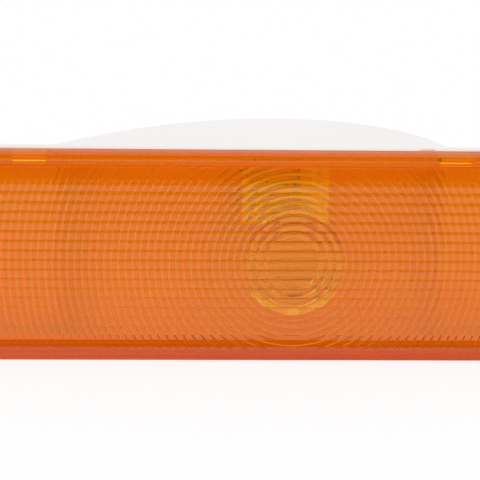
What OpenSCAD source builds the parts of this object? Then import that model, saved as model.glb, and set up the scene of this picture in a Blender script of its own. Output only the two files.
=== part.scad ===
// Front parking and turn lamp with a wide amber lens.
// The lens faces -Y, the bulb is changed from behind, and +Z is up.
// The origin is midway between the two fixing holes, on the back face of the
// ears, which is the face that meets the car.

/* [Lens] */
// Width of the lens body, without its flange
lens_w = 234; // [200:1:260]
// Height of the lens body, without its flange
lens_h = 70.2; // [66:0.1:84]
// Depth of the lens's side walls in front of its flange
lens_depth = 12; // [9:0.5:18]
// Wall of the lens
lens_wall = 2.4; // [1.8:0.1:3]
// How far the flange stands out past the side walls
flange_lip = 1.5; // [1.2:0.1:3]
// Thickness of the flange
flange_t = 3; // [2:0.25:4]
// Corner radius of the lens body
lens_corner_r = 4; // [2.5:0.5:7]
// Width of the plain border at each end of the window
end_border = 6.5; // [4:0.5:10]
// Height of the bead along the top edge
bead_h = 2.2; // [1.5:0.1:3]
// Width of the fine groove along the top bead
groove_w = 0.6; // [0.3:0.1:0.9]
// Step from the top bead down to the smooth margin
bead_step = 0.8; // [0.4:0.1:1]
// Height of the smooth sloping margin above the flutes
margin_h = 4.8; // [3:0.1:6]
// Height of the lip along the bottom edge
lip_h = 4.7; // [3:0.1:6]
// Height of the sloping ledge between the bottom lip and the flutes
ledge_h = 1.9; // [1:0.1:3]
// How far the bottom lip stands in front of the top bead
lip_reach = 2.4; // [1:0.1:3]
// How far the middle of the fluted window stands in front of the top bead
crown_reach = 2; // [1.6:0.1:2.6]
// Radius of the window's gentle upright crown
crown_r = 300; // [240:5:500]
// Spacing of the level flutes on the outside of the window
flute_pitch = 3.42; // [2.5:0.01:5]
// Height of one flute's rounded back
flute_rise = 0.22; // [0.1:0.01:0.35]

/* [Lens optics] */
// Thickness of the window between its inside face and the top bead
window_t = 2.4; // [2:0.1:3]
// Spacing of the prism rings on the inside of the window
ring_pitch = 2.54; // [2.2:0.02:4]
// Height of one prism ring
ring_h = 0.8; // [0.4:0.05:1]
// Radius of the coarse bull's-eye in front of the bulb
eye_r = 18; // [15:0.5:24]
// Radius of the domed middle of the bull's-eye
eye_dome_r = 8.8; // [6:0.2:10]
// Number of coarse rings round the domed middle
eye_rings = 2; // [1:1:3]
// Height of the bull's-eye's dome and coarse rings
eye_h = 1.5; // [1:0.1:2]

/* [Lens pads] */
// Distance of each locating pad from the middle of the lens
pad_x = 74.6; // [40:0.2:90]
// Width of one locating pad
pad_w = 11.4; // [8:0.2:16]
// Height of one locating pad on the top wall
pad_h = 1.3; // [1:0.1:1.5]

/* [Housing] */
// Wall of the housing
wall_t = 2.4; // [1.8:0.1:3]
// Depth of the shallow rim box behind the ears' back face
rim_depth = 7; // [6:0.5:12]
// Thickness of the rim flange that the lens seats on, also of the ears
rim_t = 3; // [2.5:0.25:5]
// Width of the rim flange's face
rim_face = 5; // [4.4:0.2:7]
// Depth of the bowl behind the ears' back face
bowl_depth = 60; // [54:0.5:68]
// Focal length of the parabola on the bowl's long side
long_focus = 32.75; // [27:0.25:36]
// Half width of the ellipse on the bowl's short side
short_half_w = 58; // [50:0.5:66]
// Half depth of the ellipse on the bowl's short side
short_half_d = 72; // [66:0.5:84]
// Width of the sealing groove in the rim flange
seal_w = 1.6; // [1.2:0.1:2]
// Depth of the sealing groove
seal_depth = 1.4; // [1:0.1:1.6]
// How far the rim's edge lies inside the lens flange's edge
rim_inset = 0.6; // [0.2:0.1:1.2]
// Reach of each ear past the rim
ear_reach = 14.2; // [13:0.1:20]
// Height of each ear
ear_h = 22; // [18:1:30]
// Radius of each fixing hole
ear_hole_r = 2.8; // [2.2:0.1:3.2]
// Thickness of the stiffening ribs
rib_t = 1.6; // [1.2:0.1:2.4]
// How far the ribs stand off the bowl
rib_reach = 2.6; // [1.5:0.1:4]
// Distance of the level ribs from the bulb's height
rib_z = 24; // [23.5:0.5:28]
// Distance of the small nub on the top wall from the middle
nub_x = 66; // [50:1:74]
// Width of the nub
nub_w = 5; // [3:0.5:7]
// Height of the nub
nub_h = 0.8; // [0.4:0.1:1.2]

/* [Reflector] */
// Thickness of the bright reflector sheet
sheet_t = 0.8; // [0.5:0.1:1]
// Gap between the reflector and the housing
sheet_gap = 0.2; // [0.1:0.05:0.4]
// Distance of the reflector's flat back from the bowl's outer back face
flat_set = 5.6; // [5.2:0.1:7]
// Distance of the fixing screws from the housing's inner end walls
screw_inset_x = 9.5; // [7:0.5:16]
// Distance of the fixing screws from the housing's inner top and bottom walls
screw_inset_z = 8.6; // [7:0.2:14]
// Radius of a fixing screw's shank
screw_r = 1.5; // [1:0.1:2]
// Radius of a fixing screw's head
screw_head_r = 3; // [2.4:0.1:3.6]
// Length of a fixing screw under its head
screw_len = 8; // [6:0.5:12]

/* [Bulb] */
// Sideways distance of the bulb's axis from the middle of the lens
bulb_x = 18; // [10:1:24]
// Height of the bulb's axis from the middle of the lens
bulb_z = -1; // [-3:0.5:3]
// Radius of the glass
glass_r = 13.25; // [11:0.25:14]
// Wall of the glass
glass_t = 0.7; // [0.5:0.1:1]
// Radius of the brass base
base_r = 7.5; // [7:0.1:8]
// Wall of the brass base
base_t = 0.35; // [0.25:0.05:0.5]
// Length of the brass base
base_len = 18; // [16:0.5:20]
// Length of the bulb from the back of its base to the tip of its glass
bulb_len = 51; // [48:0.5:56]
// Radius of a bayonet pin
pin_r = 1; // [0.7:0.05:1.2]
// How far a bayonet pin stands out of the base
pin_reach = 1.3; // [1.1:0.1:1.6]
// Distance of the first bayonet pin from the back of the base
pin_set = 7.5; // [6:0.5:9]
// How much nearer the glass the second pin sits
pin_stagger = 3.2; // [2.5:0.1:4]
// Radius of a solder contact
contact_r = 1.7; // [1.2:0.1:2]
// Half the spacing of the two solder contacts
contact_x = 3.2; // [2.6:0.1:3.6]
// Height of a solder contact
contact_h = 0.6; // [0.4:0.1:1]

/* [Socket] */
// Clearance between the glass and the hole that it passes through
glass_clear = 2.35; // [1.5:0.05:3.5]
// Clearance between the socket's neck and the housing's hole
neck_clear = 0.6; // [0.3:0.05:1]
// Reach of the three locking lugs past the neck
lug_reach = 3; // [2:0.25:4]
// Thickness of a locking lug
lug_t = 2; // [1.6:0.1:2.2]
// Width of a locking lug
lug_w = 8; // [6:0.5:10]
// Thickness of the rubber gasket
gasket_t = 1; // [0.8:0.1:2]
// Thickness of the socket's flange
socket_flange_t = 3; // [2:0.25:5]
// Wall between the bayonet sleeve's room and the outside of the socket
socket_wall = 5; // [4:0.25:7]
// Wall of the bayonet sleeve
sleeve_t = 0.5; // [0.4:0.05:0.7]
// Running clearance between the bulb's base and the sleeve
sleeve_clear = 0.3; // [0.2:0.05:0.5]
// Thickness of the sliding contact carrier
carrier_t = 1.5; // [1.2:0.1:2.5]
// Travel of the contact spring's room behind the carrier
spring_len = 4.3; // [3.5:0.1:7]
// Wire radius of the contact spring
spring_wire_r = 0.45; // [0.3:0.05:0.5]
// Turns of the contact spring
spring_turns = 3; // [2:0.5:4]
// Thickness of the wall behind the spring
end_wall = 2.5; // [2:0.25:4]
// Depth of the connector's recess
plug_depth = 13; // [10:0.5:18]
// Width of the connector's recess
plug_w = 22; // [20.5:0.5:26]
// Height of the connector's recess
plug_h = 11; // [10.5:0.5:14]
// Wall round the connector's recess
plug_wall = 1.8; // [1.4:0.1:2.6]
// Width of one terminal blade
blade_w = 4.8; // [3:0.2:5.6]
// Thickness of one terminal blade
blade_t = 0.8; // [0.6:0.1:1]
// How far a blade stands into the recess
blade_len = 10; // [7:0.5:12]

/* [Hidden] */

// Fineness of round surfaces, and of small round ones
round_n = 96;
small_n = 32;
// Overshoot of a cut past the face that it opens, and sink of a joined form
cut = 1;
bite = 0.4;
// Clearance of pieces that fit inside each other
fit = 0.05;

// Levels along Y
seat_y = -rim_t;
flange_y = seat_y - flange_t;
bead_y = flange_y - lens_depth;
step_y = bead_y + bead_step;
lip_y = bead_y - lip_reach;
crown_y = bead_y - crown_reach;
inside_y = bead_y + window_t;
valley_y = inside_y + 0.15;
panel_y = rim_depth - wall_t;

// Half sizes and levels along Z of the lens
half_w = lens_w / 2;
half_h = lens_h / 2;
window_top = half_h - bead_h - margin_h;
window_bottom = -half_h + lip_h + ledge_h;
window_mid = (window_top + window_bottom) / 2;
flute_steps = 6;
flute_count = ceil((window_top - window_bottom) / flute_pitch);

// Rim of the housing, which lines up with the lens's flange
flange_half_w = half_w + flange_lip;
flange_half_h = half_h + flange_lip;
flange_corner_r = lens_corner_r + flange_lip;
rim_half_w = flange_half_w - rim_inset;
rim_half_h = flange_half_h - rim_inset;
rim_corner_r = flange_corner_r - rim_inset;
ear_x = rim_half_w + ear_reach / 2;
screw_x = rim_half_w - wall_t - screw_inset_x;
screw_z = rim_half_h - wall_t - screw_inset_z;

// Bowl's plan outline, from its deepest point down to the back panel
bowl_steps = 20;
bowl_rise = bowl_depth - rim_depth + wall_t / 2;
long_reach = sqrt(4 * long_focus * bowl_rise);
short_end = acos(1 - bowl_rise / short_half_d);
flat_y = bowl_depth - flat_set;

// Bulb hole, lugs and boss
neck_r = glass_r + glass_clear - neck_clear;
hole_r = neck_r + neck_clear;
lug_r = neck_r + lug_reach;
pocket_r = lug_r + 1;
liner_hole_r = glass_r + glass_clear / 2;
boss_r = pocket_r + wall_t;
boss_y = bowl_depth + 1;
grip_t = 3.4;
pocket_y = boss_y - grip_t;
lug_gap = 0.2;
lug_y = pocket_y - lug_gap;
neck_y = lug_y - lug_t - 0.1;
lug_turn = 40;

// Socket levels
flange_r = boss_r;
gasket_y = boss_y + gasket_t;
socket_back_y = gasket_y + socket_flange_t;
bulb_back_y = socket_back_y + 1.6;
button_y = bulb_back_y + contact_h;
button_h = 0.6;
carrier_y = button_y + button_h;
spring_y = carrier_y + carrier_t;
chamber_y = spring_y + spring_len;
recess_y = chamber_y + end_wall;
plug_y = recess_y + plug_depth;

// Sleeve and socket bores
sleeve_in_r = base_r + sleeve_clear;
sleeve_out_r = sleeve_in_r + sleeve_t;
pin_tip_r = base_r + pin_reach;
socket_bore_r = max(sleeve_out_r, pin_tip_r) + 0.4;
socket_r = sleeve_out_r + fit + socket_wall + 3;
sleeve_len = base_len + 3;
sleeve_back_y = spring_y + 1;
sleeve_y = sleeve_back_y - sleeve_len;
spring_r = sleeve_in_r - 0.5 - spring_wire_r;
chamber_r = sleeve_in_r - 0.3;
blade_pitch = 2 * contact_x;
strap_t = 0.5;
strap_x = (sleeve_in_r + sleeve_out_r) / 2;
ground_x = contact_x + blade_pitch;
plug_x = contact_x;

// Bulb levels
tip_y = bulb_back_y - bulb_len;
globe_y = tip_y + glass_r;
base_y = bulb_back_y - base_len;
glass_neck_r = base_r - base_t - fit;
glass_end_y = base_y + 6;
stem_y = globe_y + glass_r * 0.7;
turn_x = 5;
turn_y = globe_y + 2;
park_x = 2.6;
park_y = turn_y + 2.5;
post_r = 0.35;
coil_r = 0.45;
insulator_t = 3.5;

// A flat outline in X and Z, with its thickness along Y from y0 to y1.
module slab(y0, y1) {
    translate([0, y1, 0])
        rotate([90, 0, 0])
            linear_extrude(y1 - y0)
                children();
}

// A rectangle with truly round corners, given by its half sizes.
module round_box(hw, hh, r) {
    square([2 * hw, 2 * (hh - r)], center = true);
    square([2 * (hw - r), 2 * hh], center = true);
    for (x = [-1, 1], z = [-1, 1])
        translate([x * (hw - r), z * (hh - r)])
            circle(r = r, $fn = small_n);
}

// A side profile in Y and Z, drawn out along X over the given width.
module along_x(width) {
    translate([-width / 2, 0, 0])
        rotate([90, 0, 90])
            linear_extrude(width)
                children();
}

// A profile of radius and Y, turned about the bulb's axis.
module turned(n = round_n) {
    on_axis()
        rotate([-90, 0, 0])
            rotate_extrude($fn = n)
                children();
}

// Shapes placed from the bulb's axis.
module on_axis() {
    translate([bulb_x, 0, bulb_z])
        children();
}

// A ring or a disc about the bulb's axis, from y0 to y1.
module ring(r_in, r_out, y0, y1) {
    turned()
        translate([r_in, y0])
            square([r_out - r_in, y1 - y0]);
}

// The crown's Y at a height z, from a circle of crown_r.
function crown_at(z) =
    crown_y + crown_r - sqrt(crown_r * crown_r - (z - window_mid) * (z - window_mid));

// One flute's points, from its top edge down, on the crown.
function flute_points(i) = [
    for (k = [0 : flute_steps - 1])
        let (
            u = k / flute_steps,
            z = window_top - (i + u) * flute_pitch,
            hump = 1 - (2 * u - 1) * (2 * u - 1)
        )
        if (z > window_bottom)
            [crown_at(z) - flute_rise * hump, z]
];

// Side profile of the lens through its fluted window.
module window_profile() {
    groove_z = half_h - bead_h / 2;
    top = [
        [flange_y + bite, half_h],
        [bead_y + bite, half_h],
        [bead_y, half_h - bite],
        [bead_y, groove_z + groove_w / 2],
        [bead_y + groove_w / 2, groove_z],
        [bead_y, groove_z - groove_w / 2],
        [bead_y, half_h - bead_h],
        [step_y, half_h - bead_h]
    ];
    flutes = [for (i = [0 : flute_count - 1]) each flute_points(i)];
    lip_groove_z = -half_h + lip_h * 0.55;
    bottom = [
        [crown_at(window_bottom), window_bottom],
        [lip_y, -half_h + lip_h],
        [lip_y, lip_groove_z + groove_w / 2],
        [lip_y + groove_w / 2, lip_groove_z],
        [lip_y, lip_groove_z - groove_w / 2],
        [lip_y, -half_h + bite],
        [lip_y + bite, -half_h],
        [flange_y + bite, -half_h]
    ];
    polygon(concat(top, flutes, bottom));
}

// Side profile of the plain border at each end of the window.
module border_profile() {
    polygon([
        [flange_y + bite, half_h],
        [bead_y + bite, half_h],
        [bead_y, half_h - bite],
        [lip_y, -half_h + bite],
        [lip_y + bite, -half_h],
        [flange_y + bite, -half_h]
    ]);
}

// Profile of the prism rings and the bull's-eye, as radius and Y.
module ring_profile() {
    far = norm([half_w + abs(bulb_x), half_h + abs(bulb_z)]);
    fine_rings = ceil((far - eye_r) / ring_pitch);
    coarse_pitch = (eye_r - eye_dome_r) / eye_rings;
    dome_steps = 8;
    draft = 0.12;
    dome = [
        for (k = [0 : dome_steps])
            let (u = k / dome_steps)
            [u * eye_dome_r, valley_y + eye_h * (1 - u * u)]
    ];
    coarse = [
        for (i = [0 : eye_rings - 1])
            let (r = eye_dome_r + i * coarse_pitch)
            each [[r + draft, valley_y + eye_h], [r + coarse_pitch, valley_y]]
    ];
    fine = [
        for (i = [0 : fine_rings - 1])
            let (r = eye_r + i * ring_pitch)
            each [[r + draft, valley_y + ring_h], [r + ring_pitch, valley_y]]
    ];
    back = [
        [eye_r + fine_rings * ring_pitch, inside_y - bite],
        [0, inside_y - bite]
    ];
    polygon(concat(dome, coarse, fine, back));
}

// The amber lens: flange, side walls, fluted window, prism rings and pads.
module lens() color("darkorange") {
    deepest = max(lip_reach, crown_reach + flute_rise) + cut;
    difference() {
        union() {
            slab(flange_y, seat_y)
                round_box(flange_half_w, flange_half_h, flange_corner_r);
            intersection() {
                slab(bead_y - deepest, seat_y - bite)
                    round_box(half_w, half_h, lens_corner_r);
                union() {
                    along_x(lens_w - 2 * end_border)
                        window_profile();
                    for (side = [-1, 1])
                        translate([side * (half_w - end_border / 2), 0, 0])
                            along_x(end_border)
                                border_profile();
                }
            }
            for (side = [-1, 1])
                translate([side * pad_x - pad_w / 2, bead_y + 2 * bite, half_h - bite])
                    cube([pad_w, lens_depth - bite, pad_h + bite]);
        }
        slab(inside_y, seat_y + cut)
            round_box(half_w - lens_wall, half_h - lens_wall, lens_corner_r - lens_wall / 2);
    }
    intersection() {
        turned(180)
            ring_profile();
        slab(inside_y - 2 * bite, seat_y)
            round_box(half_w - lens_wall / 2, half_h - lens_wall / 2, lens_corner_r - lens_wall / 2);
    }
}

// Half sizes of the sealing groove's outer edge.
seal_half_w = rim_half_w - (rim_face - seal_w) / 2;
seal_half_h = rim_half_h - (rim_face - seal_w) / 2;
seal_corner_r = rim_corner_r - 1;

// Outline of the sealing groove, less a gap all round.
module seal_ring(gap) {
    difference() {
        round_box(seal_half_w - gap, seal_half_h - gap, seal_corner_r);
        round_box(seal_half_w - seal_w + gap, seal_half_h - seal_w + gap, seal_corner_r - seal_w / 2);
    }
}

// The soft sealing bead pressed between the lens and the housing.
module lens_seal() color("lightgray")
    slab(seat_y, seat_y + seal_depth)
        seal_ring(0);

// A point on a curve that falls with the given slope, moved inwards by off.
// Its place is u to the given side of the bulb's axis, and drop below the vertex.
function inset_point(side, u, drop, slope, off) =
    let (n = sqrt(1 + slope * slope))
    [bulb_x + side * (u - off * slope / n), bowl_depth - drop - off / n];

// A point of the parabola on the long side.
function long_point(u, off) =
    inset_point(-1, u, u * u / (4 * long_focus), u / (2 * long_focus), off);

// A point of the ellipse on the short side, at an angle t from its vertex.
function short_point(t, off) =
    inset_point(1, short_half_w * sin(t), short_half_d * (1 - cos(t)),
        short_half_d * tan(t) / short_half_w, off);

// The bowl's plan outline, moved inwards by the distance off, closed at y = base.
module bowl_outline(off, base) {
    long_side = [for (k = [bowl_steps : -1 : 1]) long_point(long_reach * k / bowl_steps, off)];
    short_side = [for (k = [0 : bowl_steps]) short_point(short_end * k / bowl_steps, off)];
    first = long_side[0];
    last = short_side[bowl_steps];
    polygon(concat([[first[0], base]], long_side, short_side, [[last[0], base]]));
}

// A level plate with the bowl's outline, between two heights.
module bowl_body(off, base, z0, z1) {
    translate([0, 0, z0])
        linear_extrude(z1 - z0)
            bowl_outline(off, base);
}

// One ear with its gussets, at the +X end.
module ear() {
    gusset_l = ear_reach * 0.55;
    gusset_y = rim_depth * 0.8;
    translate([rim_half_w - cut, -rim_t, -ear_h / 2])
        cube([ear_reach - ear_h / 4 + cut, rim_t, ear_h]);
    translate([rim_half_w + ear_reach - ear_h / 4, 0, 0])
        slab(-rim_t, 0)
            round_box(ear_h / 4, ear_h / 2, ear_h / 4 - fit);
    for (z = [-1, 1])
        translate([rim_half_w - bite, -bite, z * (ear_h - rib_t) / 2])
            linear_extrude(rib_t, center = true)
                polygon([[0, 0], [gusset_l, 0], [gusset_l, bite], [bite, gusset_y], [0, gusset_y]]);
}

// Posts inside the rim box that take the reflector's screws.
module screw_places() {
    for (x = [-1, 1], z = [-1, 1])
        translate([x * screw_x, 0, z * screw_z])
            rotate([-90, 0, 0])
                children();
}

// The moulded housing: rim, back panel, curved bowl, socket boss, ears and ribs.
module housing() color("gainsboro") {
    inner_w = rim_half_w - wall_t;
    inner_h = rim_half_h - wall_t;
    post_end = panel_y + screw_len + 1.5;
    difference() {
        union() {
            slab(seat_y, 0)
                round_box(rim_half_w, rim_half_h, rim_corner_r);
            slab(-bite, rim_depth)
                round_box(rim_half_w, rim_half_h, rim_corner_r);
            bowl_body(0, panel_y + bite, -rim_half_h, rim_half_h);
            on_axis()
                rotate([-90, 0, 0])
                    translate([0, 0, bowl_depth - 14])
                        cylinder(r = boss_r, h = boss_y - bowl_depth + 14, $fn = round_n);
            for (z = [-1, 1])
                bowl_body(-rib_reach, panel_y + bite, z * rib_z - rib_t / 2, z * rib_z + rib_t / 2);
            screw_places()
                translate([0, 0, panel_y + bite])
                    cylinder(r = screw_r + wall_t * 0.75, h = post_end - panel_y - bite, $fn = small_n);
            for (x = [-1, 1])
                translate([x * screw_x - rib_t / 2, panel_y + bite, -rim_half_h])
                    cube([rib_t, rim_depth - panel_y + rib_reach / 2, 2 * rim_half_h]);
            translate([nub_x - nub_w / 2, seat_y + bite, rim_half_h - bite])
                cube([nub_w, rim_t - bite, nub_h + bite]);
            ear();
            mirror([1, 0, 0])
                ear();
        }
        // Room behind the lens, narrower at the rim flange's face
        slab(seat_y - cut, cut)
            round_box(rim_half_w - rim_face, rim_half_h - rim_face, rim_corner_r - wall_t);
        slab(0, panel_y)
            round_box(inner_w, inner_h, rim_corner_r - wall_t);
        // Room inside the bowl
        bowl_body(wall_t, 0, -inner_h, inner_h);
        // Hole, pocket and notches for the socket
        ring(0, hole_r, bowl_depth - 20, boss_y + cut);
        ring(0, pocket_r, bowl_depth - 20, pocket_y);
        for (a = [0 : 120 : 240])
            on_axis()
                rotate([0, a + 90 + lug_turn, 0])
                    translate([0, pocket_y - cut, -(lug_w + 1) / 2])
                        cube([lug_r + 0.5, grip_t + 2 * cut, lug_w + 1]);
        // Groove for the sealing bead
        slab(seat_y - cut, seat_y + seal_depth)
            seal_ring(0);
        // Fixing holes and blind screw holes
        for (side = [-1, 1])
            translate([side * ear_x, -rim_t - cut, 0])
                rotate([-90, 0, 0])
                    cylinder(r = ear_hole_r, h = rim_t + 2 * cut, $fn = small_n);
        screw_places()
            translate([0, 0, 0])
                cylinder(r = screw_r, h = panel_y + screw_len + fit, $fn = small_n);
    }
}

// The bright reflector: a flat sheet behind the window that dips into the bowl.
module reflector() color("whitesmoke") {
    sheet_back = panel_y - sheet_gap;
    in_h = rim_half_h - wall_t - sheet_gap;
    in_w = rim_half_w - wall_t - sheet_gap;
    outer = wall_t + sheet_gap;
    inner = outer + sheet_t;
    difference() {
        union() {
            slab(sheet_back - sheet_t, sheet_back)
                round_box(in_w, in_h, rim_corner_r - wall_t);
            intersection() {
                bowl_body(outer, sheet_back - sheet_t, -in_h, in_h);
                translate([-half_w, 0, -half_h])
                    cube([lens_w, flat_y, lens_h]);
            }
        }
        intersection() {
            bowl_body(inner, -cut, -in_h + sheet_t, in_h - sheet_t);
            translate([-half_w, -2 * cut, -half_h])
                cube([lens_w, flat_y - sheet_t + 2 * cut, lens_h]);
        }
        ring(0, liner_hole_r, bowl_depth - 25, flat_y + cut);
        screw_places()
            cylinder(r = screw_r + 0.3, h = rim_depth, $fn = small_n);
    }
}

// The four screws that hold the reflector.
module reflector_screws() color("lightgray") {
    head_y = panel_y - sheet_gap - sheet_t;
    slot_w = 0.8;
    screw_places() {
        difference() {
            translate([0, 0, head_y - 2])
                cylinder(r1 = screw_head_r * 0.75, r2 = screw_head_r, h = 2, $fn = small_n);
            translate([-screw_head_r, -slot_w / 2, head_y - 2 - cut])
                cube([2 * screw_head_r, slot_w, 1 + cut]);
        }
        translate([0, 0, head_y])
            cylinder(r = screw_r, h = screw_len, $fn = small_n);
    }
}

// The bulb's glass: a round globe with a short neck, open inside the base.
module bulb_glass() color("aliceblue") {
    neck_in = glass_neck_r - glass_t;
    shoulder_y = base_y - 1;
    turned()
        difference() {
            union() {
                intersection() {
                    translate([0, globe_y])
                        circle(r = glass_r, $fn = round_n);
                    translate([0, tip_y - cut])
                        square([glass_r + cut, shoulder_y - tip_y + cut]);
                }
                translate([0, globe_y])
                    square([glass_neck_r, glass_end_y - globe_y]);
            }
            translate([0, globe_y])
                circle(r = glass_r - glass_t, $fn = round_n);
            translate([0, globe_y])
                square([neck_in, glass_end_y - globe_y + cut]);
            translate([-2 * glass_r, tip_y - cut])
                square([2 * glass_r, bulb_len]);
        }
}

// The glass stem inside the bulb, with its flared foot and pinched top.
module bulb_stem() color("lavender") {
    foot_r = glass_neck_r - glass_t - fit;
    pinch_w = 2 * turn_x + 2;
    pinch_t = 2.4;
    tube_r = 2.4;
    turned()
        polygon([
            [0, stem_y + 4], [tube_r, stem_y + 4], [tube_r, glass_end_y - 5],
            [foot_r, glass_end_y - 1], [foot_r, glass_end_y], [0, glass_end_y]
        ]);
    on_axis()
        translate([-pinch_w / 2, stem_y, -pinch_t / 2])
            cube([pinch_w, 5, pinch_t]);
}

// The two wires that carry a coil half x wide, from its level y to the pinch.
module post_pair(x, y) {
    for (side = [-1, 1])
        on_axis()
            translate([side * x, y, 0])
                rotate([-90, 0, 0])
                    cylinder(r = post_r, h = stem_y - y, $fn = small_n);
}

// The four wires that stand in the pinch and carry the two coils.
module filament_posts() color("gray") {
    post_pair(turn_x, turn_y);
    post_pair(park_x, park_y);
}

// One tungsten coil as a slim rod on top of its two wires.
module coil(x, y) {
    on_axis()
        translate([-x - coil_r, y - coil_r, 0])
            rotate([0, 90, 0])
                cylinder(r = coil_r, h = 2 * (x + coil_r), $fn = small_n);
}

// The bright coil of the turn signal.
module filament_turn() color("dimgray")
    coil(turn_x, turn_y);

// The small coil of the parking light.
module filament_park() color("dimgray")
    coil(park_x, park_y);

// The brass base, open at the glass and closed by its insulator.
module bulb_base() color("goldenrod")
    difference() {
        turned()
            polygon([
                [base_r - base_t, base_y], [base_r + 0.2, base_y], [base_r + 0.2, base_y + 1],
                [base_r, base_y + 1.5], [base_r, bulb_back_y - 1.5], [base_r - 1, bulb_back_y - 0.4],
                [base_r - 1 - base_t, bulb_back_y - 0.4], [base_r - base_t, bulb_back_y - 1.5]
            ]);
        pin_places()
            cylinder(r = pin_r, h = base_r + cut, $fn = small_n);
    }

// The two bayonet pins' places, along X from the bulb's axis.
module pin_places() {
    for (side = [-1, 1])
        on_axis()
            translate([0, bulb_back_y - pin_set - (side > 0 ? pin_stagger : 0), 0])
                rotate([0, side * 90, 0])
                    children();
}

// The two bayonet pins, riveted through the base.
module bulb_pins() color("goldenrod")
    pin_places()
        translate([0, 0, base_r - base_t - 0.6])
            cylinder(r = pin_r, h = base_t + 0.6 + pin_reach, $fn = small_n);

// The black glass that closes the base.
module bulb_insulator() color("black") {
    r = base_r - base_t - fit;
    turned()
        polygon([
            [0, bulb_back_y - insulator_t], [r, bulb_back_y - insulator_t], [r, bulb_back_y - 1.5],
            [r - 1, bulb_back_y - 0.4], [r - 1.4, bulb_back_y], [0, bulb_back_y]
        ]);
}

// The two solder contacts' places.
module contact_places(y) {
    for (side = [-1, 1])
        on_axis()
            translate([side * contact_x, y, 0])
                rotate([-90, 0, 0])
                    children();
}

// The two solder contacts on the back of the bulb.
module bulb_contacts() color("lightsteelblue")
    contact_places(bulb_back_y)
        cylinder(r1 = contact_r, r2 = contact_r * 0.8, h = contact_h, $fn = small_n);

// The socket's three locking lugs, before they are rounded to their radius.
module socket_lugs() {
    for (a = [0 : 120 : 240])
        on_axis()
            rotate([0, a + 90, 0])
                translate([0, lug_y - lug_t, -lug_w / 2])
                    cube([lug_r - 0.4, lug_t, lug_w]);
}

// The moulded socket: neck, lugs, flange, grip and connector shroud.
module socket_body() color("gainsboro") {
    shroud_w = plug_w + 2 * plug_wall;
    shroud_h = plug_h + 2 * plug_wall;
    grip_n = 12;
    difference() {
        union() {
            ring(0, neck_r, neck_y, gasket_y + bite);
            intersection() {
                socket_lugs();
                ring(0, lug_r, lug_y - lug_t - cut, lug_y + cut);
            }
            ring(0, flange_r, gasket_y, socket_back_y);
            ring(0, socket_r, socket_back_y - bite, recess_y);
            for (i = [0 : grip_n - 1])
                on_axis()
                    rotate([0, i * 360 / grip_n, 0])
                        translate([socket_r - cut, socket_back_y - bite, -rib_t / 2])
                            cube([cut + 1.2, recess_y - socket_back_y + bite, rib_t]);
            on_axis()
                translate([plug_x - shroud_w / 2, recess_y - bite, -shroud_h / 2])
                    cube([shroud_w, plug_depth + bite, shroud_h]);
        }
        ring(0, socket_bore_r, neck_y - cut, sleeve_back_y - 4);
        ring(0, sleeve_out_r + fit, sleeve_back_y - 4 - fit, sleeve_back_y);
        ring(0, chamber_r, sleeve_back_y - fit, chamber_y);
        on_axis()
            translate([plug_x - plug_w / 2, recess_y, -plug_h / 2])
                cube([plug_w, plug_depth + cut, plug_h]);
        on_axis()
            for (i = [-1, 1])
                translate([i * contact_x - blade_w / 2, chamber_y - cut, -blade_t / 2])
                    cube([blade_w, end_wall + 2 * cut, blade_t]);
        on_axis()
            translate([ground_x - blade_w / 2, chamber_y, -blade_t / 2])
                cube([blade_w, end_wall + cut, blade_t]);
        on_axis()
            translate([chamber_r - cut, sleeve_back_y - fit, -blade_w / 2])
                cube([ground_x + strap_t - chamber_r + cut, chamber_y - sleeve_back_y + fit, blade_w]);
    }
}

// The rubber gasket between the socket's flange and the housing's boss.
module socket_gasket() color("lightgray")
    ring(neck_r + neck_clear, flange_r - 0.5, boss_y, gasket_y);

// A wedge about the bulb's axis, between two angles and from y0 to y1.
module wedge(a0, a1, y0, y1) {
    far = 2 * sleeve_out_r;
    slab(y0, y1)
        polygon([[0, 0], far * [cos(a0), sin(a0)], far * [cos(a1), sin(a1)]]);
}

// The metal sleeve with two bayonet slots, pressed into the socket.
module bayonet_sleeve() color("silver") {
    slot_w = 2 * pin_r + 0.6;
    half_a = asin(slot_w / 2 / sleeve_in_r);
    turn_a = 30;
    difference() {
        ring(sleeve_in_r, sleeve_out_r, sleeve_y, sleeve_back_y);
        for (side = [-1, 1]) {
            slot_end = bulb_back_y - pin_set - (side > 0 ? pin_stagger : 0) + slot_w / 2;
            on_axis()
                rotate([0, side > 0 ? 0 : 180, 0]) {
                    wedge(turn_a - half_a, turn_a + half_a, sleeve_y - cut, slot_end - slot_w / 2);
                    wedge(-half_a, turn_a + half_a, slot_end - slot_w, slot_end);
                }
        }
    }
}

// The insulating disc that carries the sprung contacts.
module contact_carrier() color("saddlebrown")
    difference() {
        ring(0, sleeve_in_r - 0.2, carrier_y, spring_y);
        contact_places(carrier_y - cut)
            cylinder(r = contact_r * 0.6, h = carrier_t + 2 * cut, $fn = small_n);
    }

// The two contact buttons, riveted through the carrier.
module contact_buttons() color("gold")
    contact_places(button_y) {
        cylinder(r1 = contact_r * 0.7, r2 = contact_r, h = button_h, $fn = small_n);
        cylinder(r = contact_r * 0.6, h = button_h + carrier_t, $fn = small_n);
    }

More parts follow.
